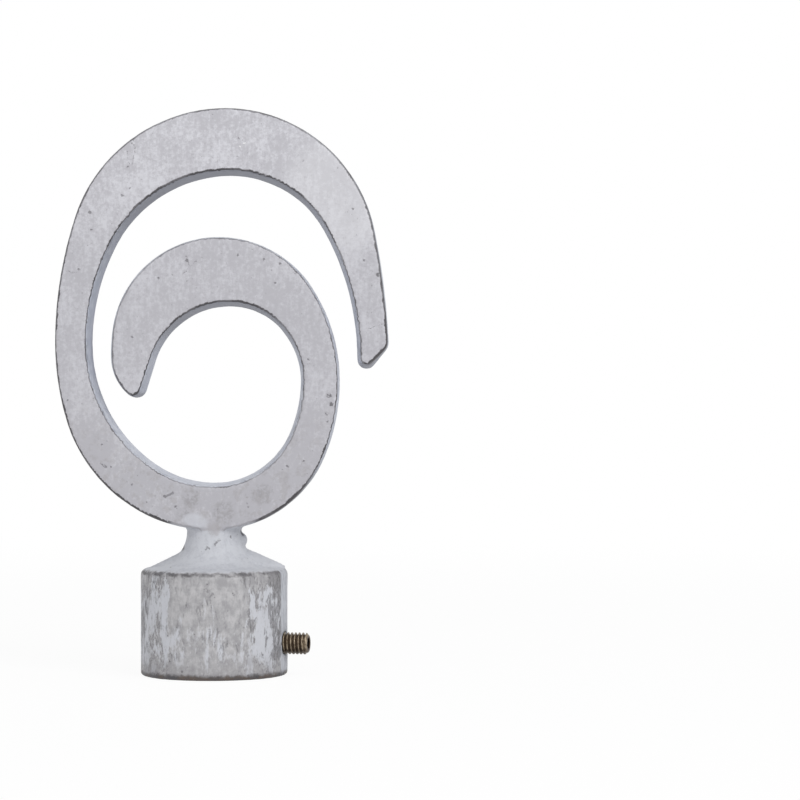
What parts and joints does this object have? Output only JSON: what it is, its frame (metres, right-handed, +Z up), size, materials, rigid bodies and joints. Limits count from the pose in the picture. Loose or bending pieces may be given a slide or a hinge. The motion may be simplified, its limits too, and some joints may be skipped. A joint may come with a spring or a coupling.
{
  "type": "curtain pole finial",
  "caption": "Cast scroll-shaped end piece for a curtain pole, with a round socket collar and a grub screw that clamps it.",
  "frame": {"origin": "centre of the socket's mouth, on the plane of the collar's base", "axes": "+Z up the pole's axis to the top of the crook; the crook lies in the XZ plane with its front face towards -Y"},
  "size_m": [0.061, 0.0268, 0.1038],
  "materials": {
    "rubbed_white_casting": "white paint wash rubbed back to the cast metal",
    "bronzed_screw": "dark bronzed steel, worn bright on the thread"
  },
  "bodies": {
    "casting": {"crook_casting": "rubbed_white_casting"},
    "set_screw": {"grub_screw": "bronzed_screw"}
  },
  "joints": [
    {"name": "screw_travel", "type": "slide", "parent": "casting", "child": "set_screw", "axis": [-0.9816, 0.1908, 0], "range_m": [-0.0021, 0.0043]}
  ]
}
